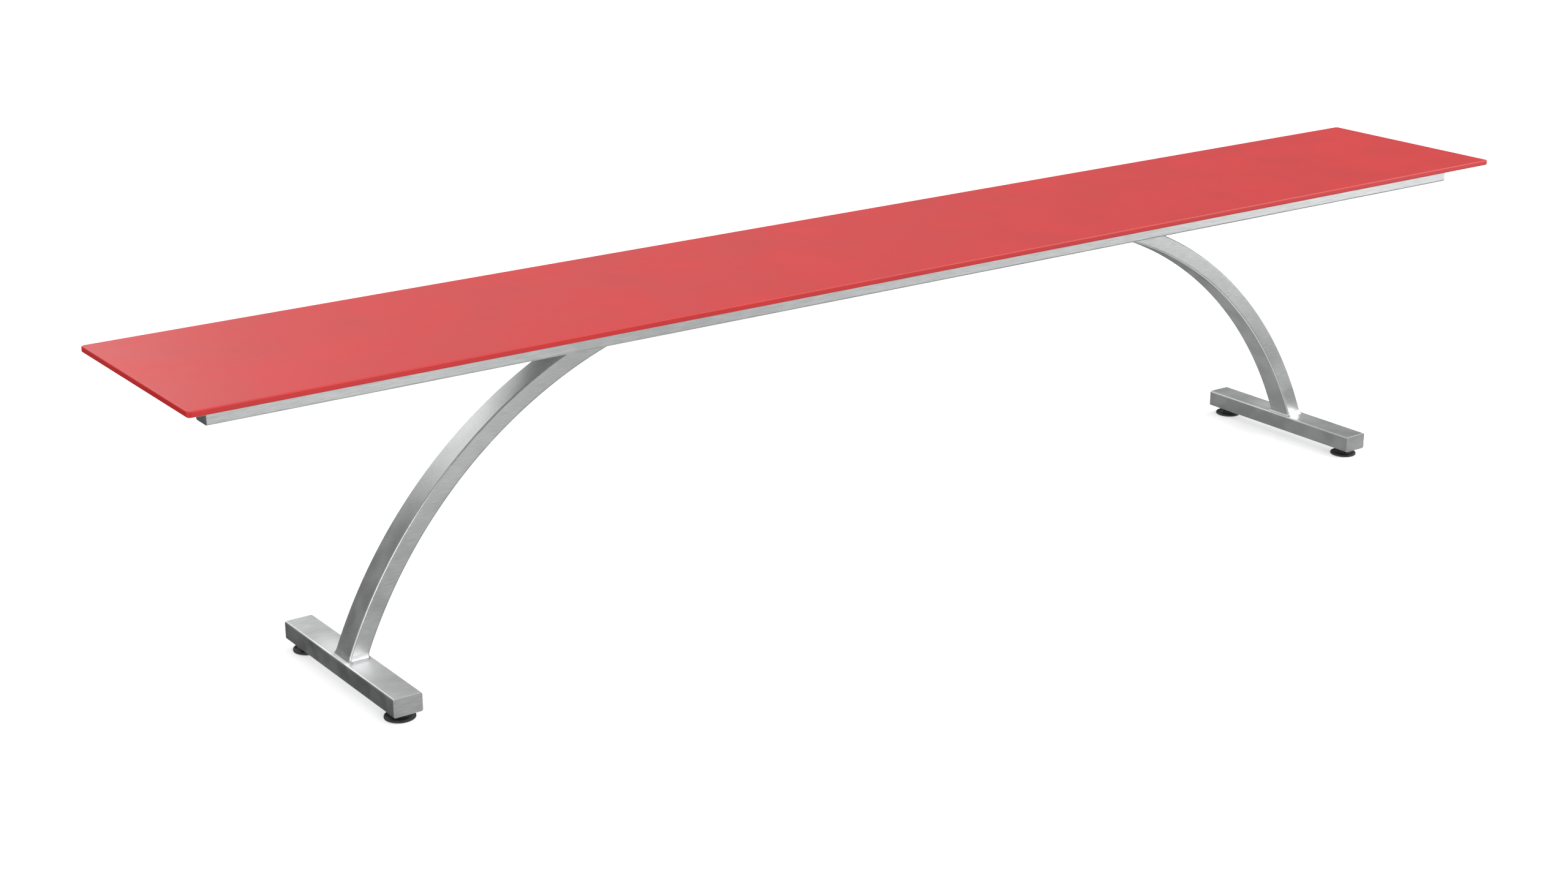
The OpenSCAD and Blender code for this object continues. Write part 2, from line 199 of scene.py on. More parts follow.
def new_piece(name, bm, material, body, slot, *nodes):
    """Makes an object of bm, which rides on body and stands for the nodes."""
    bmesh.ops.remove_doubles(bm, verts=bm.verts, dist=1e-7)
    bmesh.ops.recalc_face_normals(bm, faces=bm.faces)
    mesh = bpy.data.meshes.new(name)
    bm.to_mesh(mesh)
    bm.free()
    mesh.materials.append(material)
    mesh.shade_smooth()
    mesh.set_sharp_from_angle(angle=SHARP_ANGLE)
    piece = bpy.data.objects.new(name, mesh)
    bpy.context.scene.collection.objects.link(piece)
    even = piece.modifiers.new("even shading", "WEIGHTED_NORMAL")
    even.keep_sharp = True
    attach(piece, body)
    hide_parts(*nodes)
    return piece


def round_bar(bm, centre, radius, low, high, sides=32):
    """Adds an upright cylinder from height low to height high."""
    made = bmesh.ops.create_cone(
        bm, cap_ends=True, segments=sides, radius1=radius, radius2=radius,
        depth=high - low,
    )["verts"]
    bmesh.ops.translate(bm, verts=made, vec=(*centre, (low + high) / 2))
    return made


def cut_away(bm, cutter):
    """Cuts the cutter's volume out of bm, and returns what is left."""
    scene = bpy.context.scene
    blanks = []
    for name, part in (("blank", bm), ("cutter", cutter)):
        bmesh.ops.recalc_face_normals(part, faces=part.faces)
        mesh = bpy.data.meshes.new(name)
        part.to_mesh(mesh)
        part.free()
        blanks.append(bpy.data.objects.new(name, mesh))
        scene.collection.objects.link(blanks[-1])
    blank, tool = blanks
    cut = blank.modifiers.new("cut", "BOOLEAN")
    cut.operation = "DIFFERENCE"
    cut.solver = "EXACT"
    cut.object = tool
    bpy.context.view_layer.update()
    left = bmesh.new()
    left.from_mesh(blank.evaluated_get(bpy.context.evaluated_depsgraph_get()).data)
    for used in blanks:
        mesh = used.data
        bpy.data.objects.remove(used)
        bpy.data.meshes.remove(mesh)
    return left


def places_of(node, size):
    """Middles in plan of a node's like solids, which are each within size."""
    middles = []
    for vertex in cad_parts[node].data.vertices:
        for found in middles:
            if all(abs(vertex.co[i] - found[0][i]) < size for i in (0, 1)):
                found[1].append(vertex.co)
                break
        else:
            middles.append((vertex.co.copy(), [vertex.co]))
    return [
        tuple(
            (min(c[i] for c in points) + max(c[i] for c in points)) / 2
            for i in (0, 1)
        )
        for _, points in middles
    ]


board_low, board_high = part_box("seat_board")
screw_places = places_of("seat_inserts", size=0.02)

board = bmesh.new()
block(board, board_low, board_high)
round_edges(board, [e for e in board.edges if runs_along(e, 2)], BOARD_CORNER_RADIUS, 8)
round_edges(
    board,
    edges_at_height(board, board_low.z) + edges_at_height(board, board_high.z),
    BOARD_EDGE_RADIUS, 6,
)
insert_holes = bmesh.new()
for place in screw_places:
    round_bar(
        insert_holes, place, INSERT_HOLE_RADIUS,
        board_low.z - DRILL_START, board_low.z + INSERT_HOLE_DEPTH,
    )
new_piece(
    "seat_board_laminate", cut_away(board, insert_holes), satin_laminate(board_low.z),
    "frame", "red_laminate", "seat_board",
)


# ---- Rails and cross tubes ----
# Square stainless tube with rolled corners, cut to length, drilled for the seat
# screws and leg bolts, and welded into a flat ladder under the board. Its faces
# are brushed with a belt.
RAIL_CORNER_RADIUS = 0.0025
RAIL_WALL = 0.002
INNER_CORNER_RADIUS = 0.0005
SCREW_HOLE_RADIUS = 0.003
BOLT_HOLE_RADIUS = 0.0045
WALL_DRILL_DEPTH = 0.005  # a drill for a tube's lower wall stops in the hollow
STEEL_LIGHT = (0.67, 0.68, 0.68, 1)
STEEL_DARK = (0.53, 0.54, 0.54, 1)
# The colour and the numbers below paint a highlight: the tops of the feet are painted
# brighter round each leg's weld, in place of the glow of light there.
STEEL_PAINTED_HIGHLIGHT = (0.88, 0.89, 0.89, 1)
PAINTED_HIGHLIGHT_SPOT = (0.848, 0.028, 0.038)
PAINTED_HIGHLIGHT_REACH = (0.036, 0.075, 0.030)
PAINTED_HIGHLIGHT_FADES_FROM = 0.15  # a share of the reach
PAINTED_HIGHLIGHT_SKIN = (0.003, 0.001)  # it grows in between these depths below the top
LEG_SIDE = 0.0198
LEG_CORNER = 0.0035


def vector_step(tree, operation, value, numbers, output="Vector"):
    """One step of vector sums on a linked value."""
    node = tree.nodes.new("ShaderNodeVectorMath")
    node.operation = operation
    node.inputs[1].default_value = numbers
    tree.links.new(value, node.inputs[0])
    return node.outputs[output]


def number_step(tree, operation, value, other):
    """One step of plain sums with a number or with a second linked value."""
    node = tree.nodes.new("ShaderNodeMath")
    node.operation = operation
    tree.links.new(value, node.inputs[0])
    if isinstance(other, (int, float)):
        node.inputs[1].default_value = other
    else:
        tree.links.new(other, node.inputs[1])
    return node.outputs[0]


def painted_highlight_zone(tree, place):
    """How much painted highlight a point on a foot's top gets, by how near it is to a
    leg's weld, from 0 to 1.
    """
    none = (0, 0, 0)
    mirrored = vector_step(tree, "ABSOLUTE", place, none)
    offset = vector_step(tree, "SUBTRACT", mirrored, PAINTED_HIGHLIGHT_SPOT)
    shares = vector_step(tree, "DIVIDE", offset, PAINTED_HIGHLIGHT_REACH)
    away = vector_step(tree, "LENGTH", shares, none, output="Value")
    near = ranged(tree, away, 1, 0, start=PAINTED_HIGHLIGHT_FADES_FROM, end=1)
    clear_of_leg = ranged(
        tree, part_of(tree, mirrored, "Y"), 0, 1,
        start=LEG_SIDE - LEG_CORNER, end=LEG_SIDE,
    )
    foot_face = PAINTED_HIGHLIGHT_SPOT[2]
    on_top = ranged(
        tree, part_of(tree, mirrored, "Z"), 0, 1,
        start=foot_face - PAINTED_HIGHLIGHT_SKIN[0], end=foot_face - PAINTED_HIGHLIGHT_SKIN[1],
    )
    front_and_back = number_step(tree, "MULTIPLY", near, clear_of_leg)
    return number_step(tree, "MULTIPLY", front_and_back, on_top)


def brushed_stainless(name):
    """Belt-brushed steel: short fine streaks along X over faint clouds.

    Its base colour is painted brighter on the tops of the feet round the leg welds: a
    painted highlight that stands in for the glow of light where each leg meets its
    foot.
    """
    material, tree, shader, place = new_finish(name, 0.36, metallic=1)
    streaks = grain(tree, place, (0.06, 1, 1), 950, detail=2)
    clouds = grain(tree, place, (0.6, 1, 1), 28, detail=3)
    brushed = two_tone(tree, streaks, STEEL_DARK, STEEL_LIGHT)
    shaded = blended(
        tree, ranged(tree, clouds, 0.94, 1.04), (0, 0, 0, 1), brushed
    )
    # painted highlight: the base colour is brightened round each foot weld
    painted_highlight = painted_highlight_zone(tree, place)
    tree.links.new(
        blended(tree, painted_highlight, shaded, STEEL_PAINTED_HIGHLIGHT), shader.inputs["Base Color"]
    )
    tree.links.new(ranged(tree, clouds, 0.33, 0.40), shader.inputs["Roughness"])
    relief(tree, shader, streaks, 0.00001, strength=0.3)
    return material


steel = brushed_stainless("brushed_stainless_steel")


def outline(bm, width, height, radius, segments=6):
    """Adds a rectangle with round corners about the origin, as an edge loop.

    It returns the loop's vertices in their order round the origin.
    """
    known = set(bm.verts)
    made = bmesh.ops.create_grid(bm, x_segments=1, y_segments=1, size=0.5)["verts"]
    bmesh.ops.scale(bm, verts=made, vec=(width, height, 1))
    bmesh.ops.bevel(
        bm, geom=made, offset=radius, offset_type="OFFSET",
        segments=segments, profile=0.5, affect="VERTICES", material=-1,
    )
    loop = [v for v in bm.verts if v not in known]
    inside = {f for v in loop for f in v.link_faces}
    bmesh.ops.delete(bm, geom=list(inside), context="FACES_ONLY")
    return sorted(loop, key=lambda v: atan2(v.co.y, v.co.x))


def tube_section(bm, width, height, radius, wall):
    """Adds the section of a rectangular tube, as a ring of faces."""
    outline(bm, width, height, radius)
    outline(bm, width - 2 * wall, height - 2 * wall, INNER_CORNER_RADIUS)
    return bmesh.ops.bridge_loops(bm, edges=list(bm.edges))["faces"]


def straight_tube(low, high, axis, radius, wall):
    """A tube that fills the box from low to high, and runs along an axis."""
    size, middle = high - low, (low + high) / 2
    length = size[axis]
    width = size[1 - axis]
    bm = bmesh.new()
    faces = tube_section(bm, width, size.z, radius, wall)
    grown = bmesh.ops.extrude_face_region(bm, geom=faces)["geom"]
    bmesh.ops.translate(
        bm, verts=[v for v in grown if isinstance(v, bmesh.types.BMVert)],
        vec=(0, 0, length),
    )
    bmesh.ops.translate(bm, verts=bm.verts, vec=(0, 0, -length / 2))
    # the section's own Y turns up, and its length turns along the axis
    turn = Matrix.Rotation(pi / 2, 3, "X")
    if axis == 0:
        turn = Matrix.Rotation(pi / 2, 3, "Z") @ turn
    bmesh.ops.rotate(bm, verts=bm.verts, cent=(0, 0, 0), matrix=turn)
    bmesh.ops.translate(bm, verts=bm.verts, vec=middle)
    return bm


def drilled(bm, places, radius, low, high):
    """Drills bm at each place, from height low to height high."""
    drill = bmesh.new()
    for place in places:
        round_bar(drill, place, radius, low, high, sides=24)
    return cut_away(bm, drill)


for side in ("front", "rear"):
    low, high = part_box(f"{side}_rail")
    rail = straight_tube(low, high, 0, RAIL_CORNER_RADIUS, RAIL_WALL)
    own = [p for p in screw_places if low.y < p[1] < high.y]
    new_piece(
        f"{side}_rail_tube",
        drilled(
            rail, own, SCREW_HOLE_RADIUS, low.z - DRILL_START, high.z + DRILL_START
        ),
        steel, "frame", "brushed_stainless", f"{side}_rail",
    )

bolt_places = {
    side: places_of(f"{side}_leg_nuts", size=0.02) for side in ("left", "right")
}
cross_tubes = ["centre_cross_tube"] + [
    f"{side}_{which}_cross_tube"
    for side in ("left", "right") for which in ("end", "outer", "inner")
]
for node in cross_tubes:
    low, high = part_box(node)
    tube = straight_tube(low, high, 1, RAIL_CORNER_RADIUS, RAIL_WALL)
    own = [
        p for places in bolt_places.values() for p in places
        if low.x < p[0] < high.x
    ]
    if own:
        tube = drilled(
            tube, own, BOLT_HOLE_RADIUS, low.z - DRILL_START, low.z + WALL_DRILL_DEPTH
        )
    new_piece(f"{node}_steel", tube, steel, "frame", "brushed_stainless", node)


# ---- End plates ----
# Thin stainless plates welded over the open ends of the rails and the feet,
# then ground flush with the tube, which leaves their outer edge slightly round.
END_PLATE_THICKNESS = 0.0015
PLATE_EDGE_RADIUS = 0.0003
FOOT_CORNER_RADIUS = 0.0025


def end_plate(bm, low, high, axis, corner_radius, outward):
    """Adds a plate that fills the box and faces outward, 1 or -1, on an axis."""
    made = block(bm, low, high)
    along = {e for v in made for e in v.link_edges if runs_along(e, axis)}
    rounded = round_edges(bm, along, corner_radius, 6)
    face = high[axis] if outward > 0 else low[axis]
    rim = {
        e for f in rounded["faces"] for e in f.edges
        if all(abs(v.co[axis] - face) < 1e-6 for v in e.verts)
    }
    rim |= {
        e for edge in set(rim) for v in edge.verts for e in v.link_edges
        if all(abs(w.co[axis] - face) < 1e-6 for w in e.verts)
    }
    round_edges(bm, rim, PLATE_EDGE_RADIUS, 3)


def end_plates(node, axis, corner_radius):
    """The two plates of a node, one at each end of an axis."""
    low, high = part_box(node)
    bm = bmesh.new()
    for outward in (-1, 1):
        near, far = low.copy(), high.copy()
        if outward > 0:
            near[axis] = high[axis] - END_PLATE_THICKNESS
        else:
            far[axis] = low[axis] + END_PLATE_THICKNESS
        end_plate(bm, near, far, axis, corner_radius, outward)
    return bm


for side in ("front", "rear"):
    node = f"{side}_rail_end_caps"
    new_piece(
        f"{node}_steel", end_plates(node, 0, RAIL_CORNER_RADIUS), steel,
        "frame", "brushed_stainless", node,
    )


# ---- Legs ----
# Rectangular stainless tube rolled to a quarter circle. Each end is cut level,
# the lower one for the foot and the upper one for the bolting plate.
LEG_RADIUS = 0.625
LEG_WIDTH = 0.040
LEG_DEPTH = 0.025
LEG_WALL = 0.003
LEG_CORNER_RADIUS = 0.0025
LEG_STEPS = 96
LEG_SPARE_ANGLE = 0.02  # bent past both ends, and cut off level
foot_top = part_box("left_foot_bar")[1].z
leg_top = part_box("left_leg_plate")[0].z
rail_low, rail_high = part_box("front_rail")
leg_centre_z = (rail_low.z + rail_high.z) / 2 - LEG_RADIUS


def foot_middle_x(side):
    """Where the middle of a foot is, along the bench."""
    low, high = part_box(f"{side}_foot_bar")
    return (low.x + high.x) / 2


def leg_x(radius, z):
    """How far out an arc about the right leg's centre is, at a height."""
    reach = sqrt(LEG_RADIUS ** 2 - (foot_top - leg_centre_z) ** 2)
    centre = foot_middle_x("right") - reach
    return centre + sqrt(radius ** 2 - (z - leg_centre_z) ** 2)


def mirrored_for(side, bm):
    """Turns a shape drawn on the right into the one on its own side."""
    if side == "left":
        bmesh.ops.scale(bm, verts=bm.verts, vec=(-1, 1, 1))
    return bm


def cut_level(bm, height, keep_above):
    """Cuts a closed shape at a height and closes the cut."""
    cut = bmesh.ops.bisect_plane(
        bm, geom=[*bm.verts, *bm.edges, *bm.faces], dist=1e-7,
        plane_co=(0, 0, height), plane_no=(0, 0, -1 if keep_above else 1),
        clear_outer=True,
    )["geom_cut"]
    bmesh.ops.triangle_fill(
        bm, edges=[e for e in cut if isinstance(e, bmesh.types.BMEdge)],
        use_beauty=True, use_dissolve=True,
    )


def leg_tube():
    """The right leg, spun from its section and cut level at both ends."""
    outer = LEG_RADIUS + LEG_DEPTH / 2
    inner = LEG_RADIUS - LEG_DEPTH / 2
    start = asin((foot_top - leg_centre_z) / outer) - LEG_SPARE_ANGLE
    end = asin((leg_top - leg_centre_z) / inner) + LEG_SPARE_ANGLE
    centre = (leg_x(LEG_RADIUS, leg_centre_z) - LEG_RADIUS, 0, leg_centre_z)
    bm = bmesh.new()
    section = tube_section(bm, LEG_DEPTH, LEG_WIDTH, LEG_CORNER_RADIUS, LEG_WALL)
    bmesh.ops.translate(bm, verts=bm.verts, vec=(LEG_RADIUS, 0, 0))
    bmesh.ops.rotate(
        bm, verts=bm.verts, cent=(0, 0, 0), matrix=Matrix.Rotation(-start, 3, "Y")
    )
    bmesh.ops.translate(bm, verts=bm.verts, vec=centre)
    bmesh.ops.spin(
        bm, geom=section, cent=centre, axis=(0, -1, 0), dvec=(0, 0, 0),
        angle=end - start, steps=LEG_STEPS, use_merge=False,
        use_normal_flip=False, use_duplicate=False,
    )
    cut_level(bm, foot_top, keep_above=True)
    cut_level(bm, leg_top, keep_above=False)
    return bm


for side in ("left", "right"):
    new_piece(
        f"{side}_leg_rolled_tube", mirrored_for(side, leg_tube()), steel,
        "frame", "brushed_stainless", f"{side}_leg_tube",
    )
bpy.context.view_layer.update()


# ---- Welds ----
# A bead of stainless filler runs all round each end of a leg. The one on the
# foot is ground and polished to a hollow fillet, which is tight on the outside
# of the bend. The one under the plate is left as a small even bead.
FOOT_WELD_RISE = 0.0075
FOOT_WELD_INNER = 0.0037
FOOT_WELD_OUTER = 0.0006
FOOT_WELD_SIDES = 0.0070
PLATE_WELD_RISE = 0.0030
PLATE_WELD_SPREAD = 0.0035
BEAD_STEPS = 10
GROUND_DARK = (0.66, 0.67, 0.67, 1)
GROUND_LIGHT = (0.78, 0.79, 0.79, 1)


def ground_weld():
    """Polished filler with a faint mottle from the grinding wheel."""
    material, tree, shader, place = new_finish("ground_weld_steel", 0.3, metallic=1)
    mottle = grain(tree, place, (0.3, 1, 1), 500, detail=3)
    tree.links.new(
        two_tone(tree, mottle, GROUND_DARK, GROUND_LIGHT),
        shader.inputs["Base Color"],
    )
    tree.links.new(ranged(tree, mottle, 0.34, 0.42), shader.inputs["Roughness"])
    relief(tree, shader, mottle, 0.00002, strength=0.4)
    return material


def bead_loop(bm, z, grow_in, grow_out, grow_side):
    """Adds the leg's outline at a height, grown by a distance on each side."""
    low = leg_x(LEG_RADIUS - LEG_DEPTH / 2, z) - grow_in
    high = leg_x(LEG_RADIUS + LEG_DEPTH / 2, z) + grow_out
    width = LEG_WIDTH + 2 * grow_side
    loop = outline(bm, high - low, width, LEG_CORNER_RADIUS + grow_side / 2)
    bmesh.ops.translate(bm, verts=loop, vec=((low + high) / 2, 0, z))
    return loop


def weld_bead(bm, z, rise, inner, outer, sides):
    """Adds a fillet of that rise, from the face at height z, round the leg."""
    loops = []
    for step in range(BEAD_STEPS + 1):
        turn = pi / 2 * step / BEAD_STEPS
        grow = 1 - cos(turn)
        loops.append(bead_loop(
            bm, z + rise * (1 - sin(turn)),
            inner * grow, outer * grow, sides * grow,
        ))
    loops.append(bead_loop(bm, z, 0, 0, 0))
    # bridge_loops twists the long slanting loops, so each wall is laid by hand
    for above, below in zip(loops, loops[1:] + loops[:1]):
        for i in range(len(above)):
            bm.faces.new((above[i - 1], above[i], below[i], below[i - 1]))


weld_steel = ground_weld()
for side in ("left", "right"):
    beads = bmesh.new()
    weld_bead(
        beads, foot_top, FOOT_WELD_RISE,
        FOOT_WELD_INNER, FOOT_WELD_OUTER, FOOT_WELD_SIDES,
    )
    weld_bead(
        beads, leg_top, -PLATE_WELD_RISE,
        PLATE_WELD_SPREAD, PLATE_WELD_SPREAD, PLATE_WELD_SPREAD,
    )
    new_piece(
        f"{side}_leg_weld_fillets", mirrored_for(side, beads), weld_steel,
        "frame", "brushed_stainless", f"{side}_leg_welds",
    )


# ---- Leg plates ----
# Flat stainless plate, cut with round corners and drilled for four bolts, which
# hold each leg up under its two cross tubes.
LEG_PLATE_CORNER_RADIUS = 0.006
LEG_PLATE_EDGE_RADIUS = 0.0004


def leg_plate(side):
    """A plate with round corners, soft edges and its four bolt holes."""
    low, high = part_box(f"{side}_leg_plate")
    bm = bmesh.new()
    block(bm, low, high)
    round_edges(
        bm, [e for e in bm.edges if runs_along(e, 2)], LEG_PLATE_CORNER_RADIUS, 8
    )
    round_edges(
        bm, edges_at_height(bm, low.z) + edges_at_height(bm, high.z),
        LEG_PLATE_EDGE_RADIUS, 2,
    )
    return drilled(
        bm, bolt_places[side], BOLT_HOLE_RADIUS,
        low.z - DRILL_START, high.z + DRILL_START,
    )


for side in ("left", "right"):
    new_piece(
        f"{side}_leg_bolting_plate", leg_plate(side), steel,
        "frame", "brushed_stainless", f"{side}_leg_plate",
    )


# ---- Feet ----
# Rectangular stainless tube across the bench. It is drilled from below for the
# two glides, and closed at both ends like the rails.
FOOT_WALL = 0.003
GLIDE_HOLE_RADIUS = 0.0045
glide_places = {
    side: places_of(f"{side}_glide_nuts", size=0.03) for side in ("left", "right")
}

for side in ("left", "right"):
    node = f"{side}_foot_bar"
    low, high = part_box(node)
    foot = straight_tube(low, high, 1, FOOT_CORNER_RADIUS, FOOT_WALL)
    new_piece(
        f"{node}_tube",
        drilled(
            foot, glide_places[side], GLIDE_HOLE_RADIUS,
            low.z - DRILL_START, low.z + WALL_DRILL_DEPTH,
        ),
        steel, "frame", "brushed_stainless", node,
    )
    caps = f"{side}_foot_end_caps"
    new_piece(
        f"{caps}_steel", end_plates(caps, 1, FOOT_CORNER_RADIUS), steel,
        "frame", "brushed_stainless", caps,
    )


# ---- Seat inserts ----
# Turned brass sleeves, grooved outside for grip, pressed up into the blind holes
# in the board. The seat screws fill their bores.
BRASS_LIGHT = (0.80, 0.60, 0.26, 1)
BRASS_DARK = (0.62, 0.43, 0.16, 1)
INSERT_RADIUS = 0.00375
INSERT_BORE = 0.00255
INSERT_CHAMFER = 0.0003
INSERT_GROOVE = 0.0004
INSERT_GROOVES_AT = (0.33, 0.66)  # shares of the insert's length


def turned_brass():
    """Brass with faint rings from the lathe."""
    material, tree, shader, place = new_finish("turned_brass", 0.3, metallic=1)
    rings = grain(tree, place, (0.2, 0.2, 6), 700)
    tree.links.new(
        two_tone(tree, rings, BRASS_DARK, BRASS_LIGHT), shader.inputs["Base Color"]
    )
    tree.links.new(ranged(tree, rings, 0.24, 0.4), shader.inputs["Roughness"])
    relief(tree, shader, rings, 0.00001)
    return material


def lathed(bm, centre, profile, sides=32):
    """Spins a profile of (radius, height) points about an upright axis."""
    points = [bm.verts.new((r, 0, z)) for r, z in profile]
    edges = [bm.edges.new(pair) for pair in zip(points, points[1:])]
    bmesh.ops.spin(
        bm, geom=points + edges, cent=(0, 0, 0), axis=(0, 0, 1), dvec=(0, 0, 0),
        angle=2 * pi, steps=sides, use_merge=True, use_normal_flip=False,
        use_duplicate=False,
    )
    bmesh.ops.remove_doubles(bm, verts=bm.verts, dist=1e-7)
    bmesh.ops.translate(bm, verts=bm.verts, vec=(*centre, 0))


def copied_to(bm, places):
    """Copies a shape drawn about the Z axis to every place."""
    whole = bmesh.new()
    mesh = bpy.data.meshes.new("pattern")
    bmesh.ops.recalc_face_normals(bm, faces=bm.faces)
    bm.to_mesh(mesh)
    bm.free()
    for place in places:
        before = set(whole.verts)
        whole.from_mesh(mesh)
        bmesh.ops.translate(
            whole, verts=[v for v in whole.verts if v not in before], vec=(*place, 0)
        )
    bpy.data.meshes.remove(mesh)
    return whole


def insert_sleeve():
    """A grooved sleeve with its rims chamfered."""
    low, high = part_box("seat_inserts")
    outside, soft = INSERT_RADIUS, INSERT_CHAMFER
    bottom = [(INSERT_BORE + soft, low.z), (outside - soft, low.z)]
    profile = bottom + [(outside, low.z + soft)]
    for share in INSERT_GROOVES_AT:
        z = low.z + share * (high.z - low.z)
        profile += [
            (outside, z - INSERT_GROOVE),
            (outside - INSERT_GROOVE, z - INSERT_GROOVE / 2),
            (outside - INSERT_GROOVE, z + INSERT_GROOVE / 2),
            (outside, z + INSERT_GROOVE),
        ]
    profile += [
        (outside, high.z - soft), (outside - soft, high.z),
        (INSERT_BORE, high.z), (INSERT_BORE, low.z + soft), bottom[0],
    ]
    bm = bmesh.new()
    lathed(bm, (0, 0), profile)
    return copied_to(bm, screw_places)


new_piece(
    "seat_insert_sleeves", insert_sleeve(), turned_brass(),
    "frame", "brass", "seat_inserts",
)


# ---- Seat screws and washers ----
# Zinc-plated button-head screws with a hexagon socket, each on a flat washer.
# They go up through the rails into the inserts.
ZINC_LIGHT = (0.70, 0.715, 0.73, 1)
ZINC_DARK = (0.50, 0.52, 0.55, 1)
M5_PITCH = 0.0008
M5_RADIUS = 0.0025
THREAD_DEPTH = 0.61  # in pitches
THREAD_PROFILE = (  # root or crest, and its place along one pitch
    ("root", 0.06), ("crest", 0.44), ("crest", 0.56), ("root", 0.94), ("root", 1.06)
)
THREAD_LENGTH = 0.016
SHANK_RADIUS = 0.0022
SHANK_JOIN = 0.0005  # the shank starts this far inside the head
THREAD_JOIN = 0.0003  # and the thread this far inside the shank
BUTTON_RADIUS = 0.00475
BUTTON_CHAMFER = 0.0003
BUTTON_DOME = (8, 22, 36, 50, 62)  # degrees up from the rim
BUTTON_FULLNESS = 0.6
SOCKET_ACROSS = 0.003
SOCKET_DEPTH = 0.0017
SOCKET_FLAT = 1.35  # the flat round the socket, in half the socket's width
SEAT_WASHER_RADIUS = 0.005
SEAT_WASHER_BORE = 0.0028


def bright_zinc():
    """Zinc plate: a faint bluish crystal mottle, a little dull."""
    material, tree, shader, place = new_finish("bright_zinc_plate", 0.32, metallic=1)
    mottle = grain(tree, place, (1, 1, 1), 420, detail=3)
    tree.links.new(
        two_tone(tree, mottle, ZINC_DARK, ZINC_LIGHT), shader.inputs["Base Color"]
    )
    tree.links.new(ranged(tree, mottle, 0.26, 0.42), shader.inputs["Roughness"])
    relief(tree, shader, mottle, 0.00002, strength=0.4)
    return material


zinc = bright_zinc()


def thread(bm, radius, pitch, low, high, sides=24):
    """Adds a rod with a rolled thread, from height low to height high."""
    reach = {"root": radius - THREAD_DEPTH * pitch, "crest": radius}
    turns = int((high - low) / pitch) + 3
    start = low - 1.5 * pitch
    before = set(bm.verts)
    points = [
        bm.verts.new((reach[part], 0, start + share * pitch))
        for part, share in THREAD_PROFILE
    ]
    edges = [bm.edges.new(pair) for pair in zip(points, points[1:])]
    bmesh.ops.spin(
        bm, geom=points + edges, cent=(0, 0, 0), axis=(0, 0, 1),
        dvec=(0, 0, pitch / sides), angle=2 * pi * turns, steps=sides * turns,
        use_merge=False, use_normal_flip=False, use_duplicate=False,
    )
    made = [v for v in bm.verts if v not in before]
    bmesh.ops.remove_doubles(bm, verts=made, dist=1e-6)
    for height, outward in ((low, -1), (high, 1)):
        made = [v for v in bm.verts if v not in before]
        geom = made + list({x for v in made for x in (*v.link_edges, *v.link_faces)})
        cut = bmesh.ops.bisect_plane(
            bm, geom=geom, dist=1e-8, plane_co=(0, 0, height),
            plane_no=(0, 0, outward), clear_outer=True,
        )["geom_cut"]
        rim = [e for e in cut if isinstance(e, bmesh.types.BMEdge)]
        bmesh.ops.holes_fill(bm, edges=rim, sides=0)


def hexagon_bar(bm, across, low, high):
    """Adds an upright hexagon, given its width across the flats."""
    made = bmesh.ops.create_cone(
        bm, cap_ends=True, segments=6, radius1=across / sqrt(3),
        radius2=across / sqrt(3), depth=high - low,
    )["verts"]
    bmesh.ops.translate(bm, verts=made, vec=(0, 0, (low + high) / 2))
    return made


def seat_screw():
    """A button-head screw, head down, with its socket, shank and thread."""
    low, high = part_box("seat_screws")
    under_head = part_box("seat_screw_washers")[0].z
    height = under_head - low.z
    dome = [
        (BUTTON_RADIUS * cos(a) ** BUTTON_FULLNESS, under_head - height * sin(a))
        for a in (radians(degrees) for degrees in BUTTON_DOME)
    ]
    bm = bmesh.new()
    lathed(bm, (0, 0), [
        (0, under_head), (BUTTON_RADIUS - BUTTON_CHAMFER, under_head),
        (BUTTON_RADIUS, under_head - BUTTON_CHAMFER), *dome,
        (SOCKET_ACROSS / 2 * SOCKET_FLAT, low.z), (0, low.z),
    ])
    cutter = bmesh.new()
    hexagon_bar(cutter, SOCKET_ACROSS, low.z - DRILL_START, low.z + SOCKET_DEPTH)
    bm = cut_away(bm, cutter)
    plain_end = high.z - THREAD_LENGTH
    round_bar(bm, (0, 0), SHANK_RADIUS, under_head - SHANK_JOIN, plain_end, sides=24)
    thread(bm, M5_RADIUS, M5_PITCH, plain_end - THREAD_JOIN, high.z)
    return copied_to(bm, screw_places)


def flat_washer(node, outer, inner, places):
    """A washer of a node's thickness, a little soft at its outer rim."""
    low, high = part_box(node)
    soft = 0.15 * (high.z - low.z)
    bm = bmesh.new()
    lathed(bm, (0, 0), [
        (inner, low.z), (outer - soft, low.z), (outer, low.z + soft),
        (outer, high.z - soft), (outer - soft, high.z), (inner, high.z),
        (inner, low.z),
    ])
    return copied_to(bm, places)


new_piece(
    "seat_button_screws", seat_screw(), zinc,
    "frame", "zinc_plated_steel", "seat_screws",
)
new_piece(
    "seat_screw_flat_washers",
    flat_washer(
        "seat_screw_washers", SEAT_WASHER_RADIUS, SEAT_WASHER_BORE, screw_places
    ),
    zinc, "frame", "zinc_plated_steel", "seat_screw_washers",
)


# ---- Leg bolts, washers and nuts ----
# Zinc-plated hexagon bolts with washers. They go up through the plates into
# nuts that are welded inside the cross tubes.
M8_PITCH = 0.00125
M8_RADIUS = 0.004
BOLT_HEAD_ACROSS = 0.013
BOLT_JOIN = 0.0004  # the thread starts this far inside the head
NUT_ACROSS = 0.014
NUT_BORE = 0.00405
LEG_WASHER_RADIUS = 0.008
LEG_WASHER_BORE = 0.00425
CHAMFER_ANGLE = radians(30)
CHAMFER_INSET = 0.0002  # the turned cut starts this far inside the flats
CHAMFER_LEAD = 0.0004


